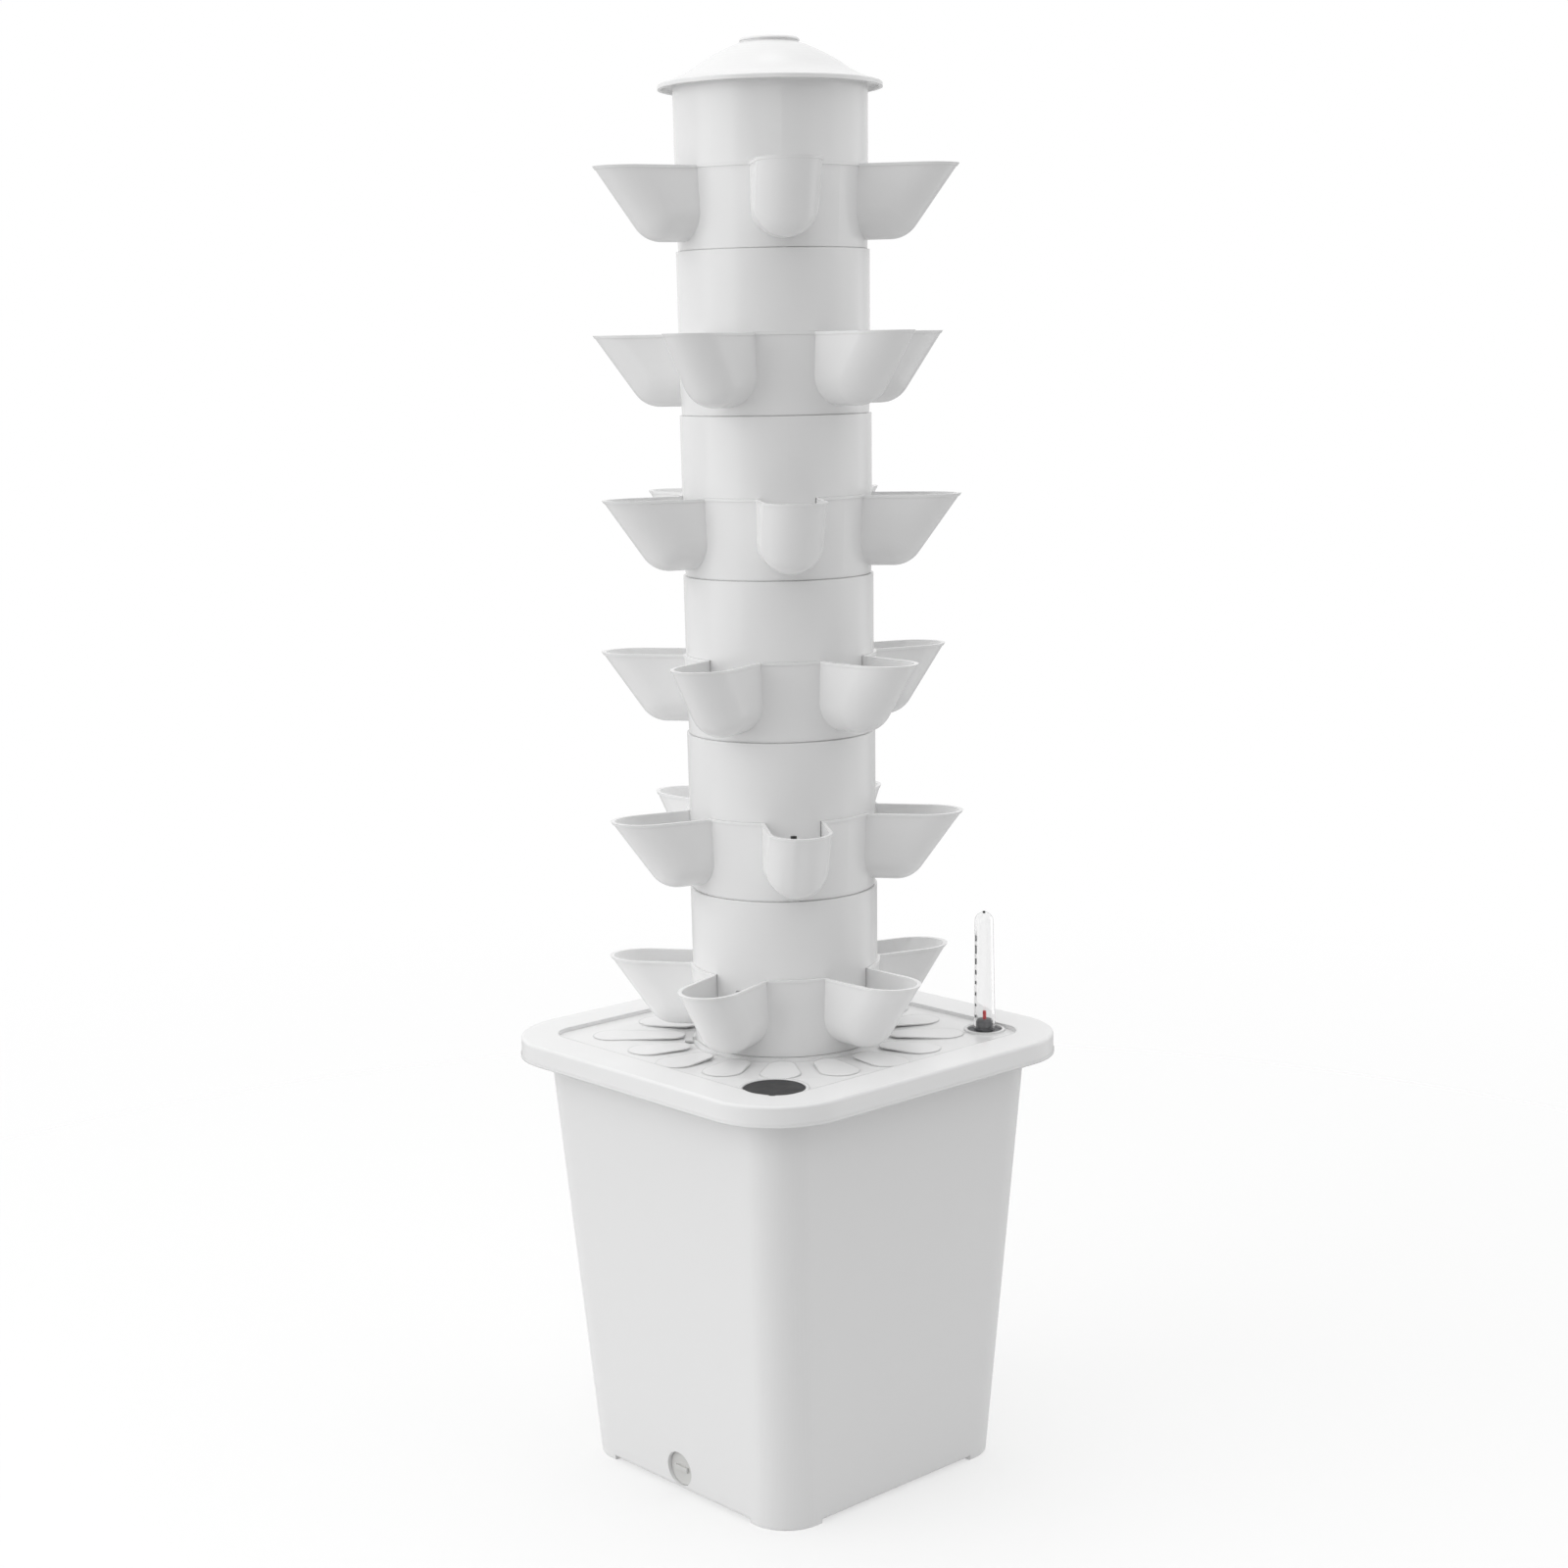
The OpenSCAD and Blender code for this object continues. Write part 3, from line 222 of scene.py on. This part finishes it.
def tank_polypropylene():
    """Polypropylene, injection moulded thick: white, a little milky, with a broad satin sheen."""
    material, tree, shader = start_material("white_moulded_polypropylene", WHITE_TANK, 0.42, IOR_PP)
    moulded_skin(
        tree, shader, grain_mm=2.2, depth_mm=0.015, gloss=(0.38, 0.48), patch_mm=60, edge_mm=EDGE_TANK
    )
    return material


def pale_polypropylene():
    """Unpolished polypropylene of the inner pieces: pale grey and nearly matt."""
    material, tree, shader = start_material("pale_moulded_polypropylene", PALE_INSIDE, 0.5, IOR_PP)
    moulded_skin(tree, shader, grain_mm=1.2, depth_mm=0.02, gloss=(0.46, 0.58), patch_mm=25)
    return material


def spark_grained_cap():
    """ABS moulded in a spark-eroded tool: dark grey with an even, dull grain."""
    material, tree, shader = start_material("dark_spark_grained_abs", CAP_GREY, 0.6, IOR_ABS)
    moulded_skin(tree, shader, grain_mm=0.5, depth_mm=0.05, gloss=(0.55, 0.66), patch_mm=9)
    return material


def barrel_rubber():
    """Thermoplastic rubber, moulded: mid grey with a soft dull sheen and a bloom in places."""
    material, tree, shader = start_material("grey_moulded_rubber", BARREL_GREY, 0.55, IOR_SOFT_RUBBER)
    moulded_skin(tree, shader, grain_mm=0.6, depth_mm=0.03, gloss=(0.42, 0.62), patch_mm=5)
    return material


def seal_rubber():
    """Nitrile rubber, pressed: black and dull, with the fine pits of the press plate."""
    material, tree, shader = start_material("black_nitrile_rubber", SEAL_BLACK, 0.65, IOR_NITRILE)
    moulded_skin(tree, shader, grain_mm=0.4, depth_mm=0.04, gloss=(0.55, 0.75), patch_mm=6)
    return material


def clear_acrylic():
    """Acrylic tube, moulded clear: hard bright edges, hardly any colour."""
    material, tree, shader = start_material("clear_moulded_acrylic", TUBE_CLEAR, 0.03, IOR_ACRYLIC)
    shader.inputs["Transmission Weight"].default_value = 1.0
    moulded_skin(tree, shader, grain_mm=3.0, depth_mm=0.004, gloss=(0.02, 0.05), patch_mm=14)
    return material


def red_rod():
    """Polystyrene rod, extruded in red: saturated, with a tight gloss."""
    material, tree, shader = start_material("red_extruded_polystyrene", ROD_RED, 0.28, IOR_POLYSTYRENE)
    moulded_skin(tree, shader, grain_mm=0.8, depth_mm=0.01, gloss=(0.22, 0.34), patch_mm=8)
    return material


def float_foam():
    """Closed-cell polyethylene foam, cut: off-white and chalky, with its cells showing."""
    material, tree, shader = start_material("white_closed_cell_foam", FOAM_WHITE, 0.85, IOR_FOAM)
    moulded_skin(tree, shader, grain_mm=0.9, depth_mm=0.12, gloss=(0.8, 0.92), patch_mm=12)
    return material


def pump_nylon():
    """Glass-filled nylon, moulded: black with a dry, faintly streaked skin."""
    material, tree, shader = start_material("black_glass_filled_nylon", PUMP_BLACK, 0.5, IOR_NYLON)
    moulded_skin(tree, shader, grain_mm=0.7, depth_mm=0.04, gloss=(0.42, 0.58), patch_mm=15)
    return material


def shaft_alumina():
    """Alumina shaft, ground: ivory and hard, with a tight sheen."""
    material, tree, shader = start_material("ivory_ground_alumina", SHAFT_IVORY, 0.22, IOR_ALUMINA)
    moulded_skin(tree, shader, grain_mm=0.3, depth_mm=0.004, gloss=(0.18, 0.28), patch_mm=6)
    return material


def pipe_pvc():
    """PVC pipe, extruded: light grey, satin, with a slow drift in its gloss."""
    material, tree, shader = start_material("grey_extruded_pvc", PIPE_GREY, 0.4, IOR_PVC)
    moulded_skin(tree, shader, grain_mm=1.6, depth_mm=0.015, gloss=(0.34, 0.46), patch_mm=20)
    return material


def printing_ink():
    """Pad-printing ink: dark grey, flat and slightly broken where the print is thin."""
    material, tree, shader = start_material("grey_printing_ink", INK_GREY, 0.6, IOR_INK)
    moulded_skin(tree, shader, grain_mm=0.4, depth_mm=0.01, gloss=(0.5, 0.7), patch_mm=3)
    return material


def paint_nodes(material, *names):
    """Gives the CAD nodes their finish."""
    for name in names:
        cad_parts[name].material_slots[0].material = material


def tier_names(piece):
    """The names of a piece that every tier has."""
    return [f"{piece}_{tier}" for tier in TIERS]


def finish_piece(piece, name, material, body):
    """Names a new piece, smooths it, gives it its finish and fixes it to the body that it moves with."""
    bpy.ops.object.shade_smooth_by_angle(angle=SMOOTH_ANGLE)
    piece.name = name
    piece.data.materials.append(material)
    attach(piece, body)


def select_faces(piece, wanted):
    """In edit mode, selects the faces that a test of their centre and normal picks."""
    bpy.ops.mesh.select_mode(type="FACE")
    bpy.ops.mesh.select_all(action="DESELECT")
    bpy.ops.object.mode_set(mode="OBJECT")
    for face in piece.data.polygons:
        face.select = wanted(face.center, face.normal)
    bpy.ops.object.mode_set(mode="EDIT")


def start_piece():
    """Deselects everything, so that the next operator meets only its own piece."""
    bpy.ops.object.select_all(action="DESELECT")


def gauge_marks(ink):
    """Eight bars printed up the clear tube, on its left side as the camera sees it."""
    low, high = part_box("gauge_tube")
    middle = Vector(((low[0] + high[0]) / 2, (low[1] + high[1]) / 2, low[2]))
    foot_radius = (high[0] - low[0]) / 2

    def outside_bar(centre, normal):
        turn = math.degrees(math.atan2(normal.y, normal.x)) - MARKS_TURN
        return abs((turn + 180) % 360 - 180) > MARKS_HALF_WIDTH

    for number, (centre_mm, height_mm) in enumerate(GAUGE_BARS, start=1):
        start_piece()
        bpy.ops.mesh.primitive_cylinder_add(
            vertices=MARKS_STEPS,
            radius=foot_radius - TUBE_DRAFT * centre_mm * MM + INK_THICKNESS,
            depth=height_mm * MM,
            end_fill_type="NOTHING",
            location=middle + Vector((0, 0, centre_mm * MM)),
        )
        bar = bpy.context.object
        bpy.ops.object.transform_apply(location=True)
        bpy.ops.object.mode_set(mode="EDIT")
        select_faces(bar, outside_bar)
        bpy.ops.mesh.delete(type="FACE")
        bpy.ops.object.mode_set(mode="OBJECT")
        film = bar.modifiers.new("ink_film", "SOLIDIFY")
        film.thickness = INK_THICKNESS
        film.offset = 1.0
        bpy.ops.object.modifier_apply(modifier=film.name)
        finish_piece(bar, f"gauge_mark_{number}", ink, "gauge_tube_body")


def gauge_vent(dark):
    """A small dark disc in the vent hole of the clear tube, a little proud, with a dished middle: painted
    shade that stands in for the dark inside of the hole.
    """
    low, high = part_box("gauge_tube")
    start_piece()
    bpy.ops.mesh.primitive_cylinder_add(
        vertices=VENT_STEPS,
        radius=VENT_RADIUS,
        depth=VENT_DEPTH,
        location=((low[0] + high[0]) / 2, (low[1] + high[1]) / 2, high[2] + VENT_PROUD - VENT_DEPTH / 2),
    )
    plug = bpy.context.object
    bpy.ops.object.transform_apply(location=True)
    bpy.ops.object.mode_set(mode="EDIT")
    select_faces(plug, lambda centre, normal: normal.z > FACES_UP)
    bpy.ops.mesh.inset(thickness=VENT_RADIUS * VENT_RIM, depth=0)
    bpy.ops.mesh.inset(thickness=VENT_RADIUS * VENT_LIP, depth=-VENT_DEPTH * VENT_DISH)
    bpy.ops.object.mode_set(mode="OBJECT")
    # The disc's dark finish is painted shade for the shadow inside the vent hole.
    finish_piece(plug, "gauge_vent_shade_disc", dark, "gauge_tube_body")


def studio_floor():
    """A plain pale floor that fades into the white surround. It is half clear, to throw little light up."""
    start_piece()
    bpy.ops.mesh.primitive_circle_add(
        vertices=FLOOR_STEPS, radius=FLOOR_RADIUS, fill_type="NGON", location=(0, 0, 0)
    )
    floor = bpy.context.object
    floor.name = "studio_floor"
    material, tree, shader = start_material("pale_floor", FLOOR_WHITE, 0.9, IOR_FLOOR)
    shader.inputs["Specular IOR Level"].default_value = 0.0
    place = add(tree, "ShaderNodeTexCoord").outputs["Object"]
    reach = add(tree, "ShaderNodeVectorMath", links={0: place}, operation="LENGTH")
    fade = add(
        tree,
        "ShaderNodeMapRange",
        inputs={"From Min": FLOOR_FADE[0], "From Max": FLOOR_FADE[1], "To Min": FLOOR_SHOWN, "To Max": 0.0},
        links={"Value": reach.outputs["Value"]},
        interpolation_type="SMOOTHSTEP",
    )
    tree.links.new(fade.outputs["Result"], shader.inputs["Alpha"])
    floor.data.materials.append(material)


def soft_box(name, place, target, sides, watts, gloss_only):
    """A large soft box that faces a point. One for gloss only shows in reflections and lights nothing."""
    lamp = bpy.data.lights.new(name, "AREA")
    lamp.shape = "RECTANGLE"
    lamp.size, lamp.size_y = sides
    lamp.energy = watts
    box = bpy.data.objects.new(name, lamp)
    bpy.context.scene.collection.objects.link(box)
    box.location = place
    box.rotation_euler = (Vector(target) - Vector(place)).to_track_quat("-Z", "Y").to_euler()
    box.visible_camera = False
    box.visible_diffuse = not gloss_only


def white_surround():
    """White walls at the back and the sides, dark on the dim side, over a grey ground.

    Rays that come straight from the camera or through clear plastic see plain white.
    """
    world = bpy.data.worlds.new("white_surround")
    bpy.context.scene.world = world
    world.use_nodes = True
    tree = world.node_tree
    toward = add(tree, "ShaderNodeTexCoord").outputs["Generated"]
    facing = add(
        tree, "ShaderNodeVectorMath", inputs={1: DIM_SIDE}, links={0: toward}, operation="DOT_PRODUCT"
    )
    glow = add(
        tree,
        "ShaderNodeMapRange",
        inputs={"From Min": WALLS_TO_DIM[0], "From Max": WALLS_TO_DIM[1], "To Min": WALLS, "To Max": DIM},
        links={"Value": facing.outputs["Value"]},
        interpolation_type="SMOOTHSTEP",
    )
    height = add(tree, "ShaderNodeSeparateXYZ", links={0: toward}).outputs["Z"]
    strength = add(
        tree,
        "ShaderNodeMapRange",
        inputs={"From Min": GROUND_TO_WALLS[0], "From Max": GROUND_TO_WALLS[1], "To Min": GROUND},
        links={"Value": height, "To Max": glow.outputs["Result"]},
        interpolation_type="SMOOTHSTEP",
    )
    lit = tree.nodes["Background"]
    lit.inputs["Color"].default_value = (1, 1, 1, 1)
    tree.links.new(strength.outputs["Result"], lit.inputs["Strength"])
    seen = add(tree, "ShaderNodeBackground", inputs={"Color": (1, 1, 1, 1), "Strength": 1.0})
    ray = add(tree, "ShaderNodeLightPath")
    straight = add(
        tree,
        "ShaderNodeMath",
        links={0: ray.outputs["Is Camera Ray"], 1: ray.outputs["Is Transmission Ray"]},
        operation="MAXIMUM",
    )
    shown = add(
        tree,
        "ShaderNodeMixShader",
        links={0: straight.outputs["Value"], 1: lit.outputs[0], 2: seen.outputs[0]},
    )
    tree.links.new(shown.outputs[0], tree.nodes["World Output"].inputs["Surface"])


def photo_camera():
    """The camera at the photograph's place: in front of the tank's corner, a little above the middle."""
    turn = math.radians(CAMERA_TURN)
    pitch = math.radians(CAMERA_PITCH)
    roll = math.radians(CAMERA_ROLL)
    lens = bpy.data.cameras.new("photo_camera")
    lens.lens = LENS
    lens.sensor_width = SENSOR
    camera = bpy.data.objects.new("photo_camera", lens)
    bpy.context.scene.collection.objects.link(camera)
    right = Vector((math.cos(turn), math.sin(turn), 0))
    ahead = Vector((-math.sin(turn) * math.cos(pitch), math.cos(turn) * math.cos(pitch), -math.sin(pitch)))
    up = right.cross(ahead)
    side = math.cos(roll) * right + math.sin(roll) * up
    top = math.cos(roll) * up - math.sin(roll) * right
    camera.matrix_world = Matrix(
        (
            (side.x, top.x, -ahead.x, CAMERA_PLACE[0]),
            (side.y, top.y, -ahead.y, CAMERA_PLACE[1]),
            (side.z, top.z, -ahead.z, CAMERA_PLACE[2]),
            (0, 0, 0, 1),
        )
    )
    bpy.context.scene.camera = camera


# One white ABS with three kinds of edge: plain tiers, the lid's soft rim, and the crisp beads of the pockets
abs_white = white_abs("white_moulded_abs", EDGE_TIER)
lid_white = white_abs("white_abs_with_soft_edges", EDGE_LID)
ring_white = white_abs("white_abs_with_crisp_beads", EDGE_BEAD)
seal_black = seal_rubber()

paint_nodes(abs_white, "dome_lid", "crown_cap", *tier_names("column_tube"))
paint_nodes(lid_white, "tank_lid")
paint_nodes(ring_white, *tier_names("pocket_ring"))
paint_nodes(tank_polypropylene(), "tank")
paint_nodes(pale_polypropylene(), "spreader_tray", "gauge_cage", "drain_plug")
paint_nodes(spark_grained_cap(), "fill_cap")
paint_nodes(barrel_rubber(), "gauge_plug")
paint_nodes(seal_black, "drain_seal", "pump_feet")
paint_nodes(clear_acrylic(), "gauge_tube")
paint_nodes(float_foam(), "gauge_float")
paint_nodes(red_rod(), "gauge_stem")
paint_nodes(pump_nylon(), "pump_housing", "pump_cover", "pump_outlet", "pump_impeller")
paint_nodes(shaft_alumina(), "pump_shaft")
paint_nodes(pipe_pvc(), "riser_base", *tier_names("riser_pipe"))

gauge_marks(printing_ink())
# The seals' black rubber also serves as painted shade in the gauge's vent hole.
gauge_vent(seal_black)

studio_floor()
white_surround()
for soft_box_values in SOFT_BOXES:
    soft_box(*soft_box_values)
photo_camera()
bpy.context.scene.view_settings.view_transform = "Standard"
